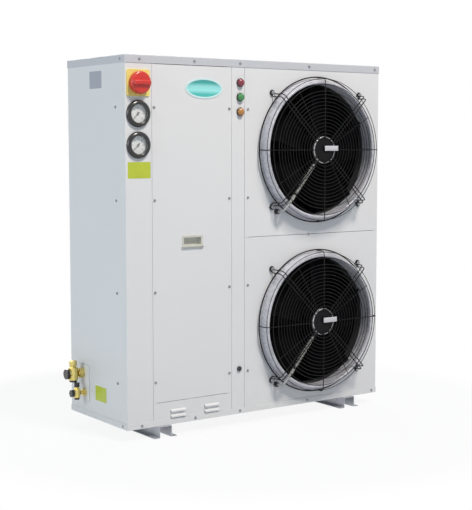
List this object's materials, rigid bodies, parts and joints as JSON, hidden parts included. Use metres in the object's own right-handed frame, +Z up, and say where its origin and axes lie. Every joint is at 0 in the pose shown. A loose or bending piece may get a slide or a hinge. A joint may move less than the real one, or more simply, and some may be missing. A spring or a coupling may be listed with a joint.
{
  "type": "refrigeration condensing unit",
  "caption": "Outdoor refrigeration condensing unit: tall sheet-metal cabinet with stacked guarded axial fans, service panel, gauges, main switch, pilot lights and brass service valves.",
  "frame": {"origin": "centre of the foot bolt pattern, at floor level", "axes": "+Z up along the cabinet's height, +X to the right seen from the fan side, +Y from the fan side to the coil side"},
  "size_m": [1.1772, 0.469, 1.29],
  "materials": {
    "cabinet_white": "satin powder coat",
    "galvanised": "galvanised",
    "guard_black": "satin black",
    "rotor_black": "satin black",
    "die_cast": "as cast",
    "black_plastic": "matt",
    "grey_plastic": "matt",
    "yellow_plate": "satin",
    "red_knob": "satin",
    "dial_white": "matt",
    "needle_black": "matt",
    "clear_glass": "clear",
    "lens_red": "gloss",
    "lens_green": "gloss",
    "lens_amber": "gloss",
    "brass": "machined",
    "copper": "drawn copper",
    "grip_beige": "matt",
    "fin_aluminium": "bare",
    "compressor_black": "satin black",
    "rubber": "matt",
    "zinc": "zinc plated"
  },
  "bodies": {
    "cabinet": {"base_tray": "cabinet_white", "foot_rail_left": "galvanised", "foot_rail_right": "galvanised", "left_panel": "cabinet_white", "right_panel": "cabinet_white", "rear_panel": "cabinet_white", "lid": "cabinet_white", "kick_panel": "cabinet_white", "pilot_strip": "cabinet_white", "upper_fan_panel": "cabinet_white", "lower_fan_panel": "cabinet_white", "partition": "galvanised", "condenser_fins": "fin_aluminium", "coil_end_plates": "galvanised", "coil_guard": "cabinet_white", "fan_nozzles": "galvanised", "fan_guards": "guard_black", "fan_stators": "die_cast", "motor_leads": "grey_plastic", "cable_glands": "black_plastic", "main_switch_plate": "yellow_plate", "control_housings": "black_plastic", "gauge_dials": "dial_white", "gauge_glasses": "clear_glass", "pilot_lens_red": "lens_red", "pilot_lens_green": "lens_green", "pilot_lens_amber": "lens_amber", "valve_plate": "cabinet_white", "service_valves": "brass", "black_caps": "black_plastic", "compressor": "compressor_black", "compressor_grommets": "rubber", "receiver_and_drier": "compressor_black", "copper_lines": "copper", "electrical_box": "galvanised", "switchgear": "grey_plastic", "cabinet_screws": "zinc", "guard_bolts": "zinc"},
    "service_door": {"service_panel": "cabinet_white", "grip_cup": "grip_beige", "door_screws": "zinc"},
    "upper_fan": {"upper_fan_rotor": "rotor_black"},
    "lower_fan": {"lower_fan_rotor": "rotor_black"},
    "switch_knob": {"main_switch_knob": "red_knob"},
    "upper_needle": {"upper_gauge_needle": "needle_black"},
    "lower_needle": {"lower_gauge_needle": "needle_black"}
  },
  "joints": [
    {"name": "service_panel_lift_off", "type": "slide", "parent": "cabinet", "child": "service_door", "axis": [0, -1, 0], "range_m": [0, 0.35]},
    {"name": "upper_fan_spin", "type": "hinge", "parent": "cabinet", "child": "upper_fan", "pos_m": [0.2505, -0.2, 0.976], "axis": [0, -1, 0], "continuous": true},
    {"name": "lower_fan_spin", "type": "hinge", "parent": "cabinet", "child": "lower_fan", "pos_m": [0.2505, -0.2, 0.347], "axis": [0, -1, 0], "continuous": true},
    {"name": "main_switch_turn", "type": "hinge", "parent": "cabinet", "child": "switch_knob", "pos_m": [-0.5035, -0.2, 1.198], "axis": [0, 1, 0], "range_deg": [0, 90]},
    {"name": "upper_gauge_needle_turn", "type": "hinge", "parent": "cabinet", "child": "upper_needle", "pos_m": [-0.5035, -0.2, 1.097], "axis": [0, 1, 0], "range_deg": [0, 270]},
    {"name": "lower_gauge_needle_turn", "type": "hinge", "parent": "cabinet", "child": "lower_needle", "pos_m": [-0.5035, -0.2, 0.994], "axis": [0, 1, 0], "range_deg": [0, 270]}
  ]
}
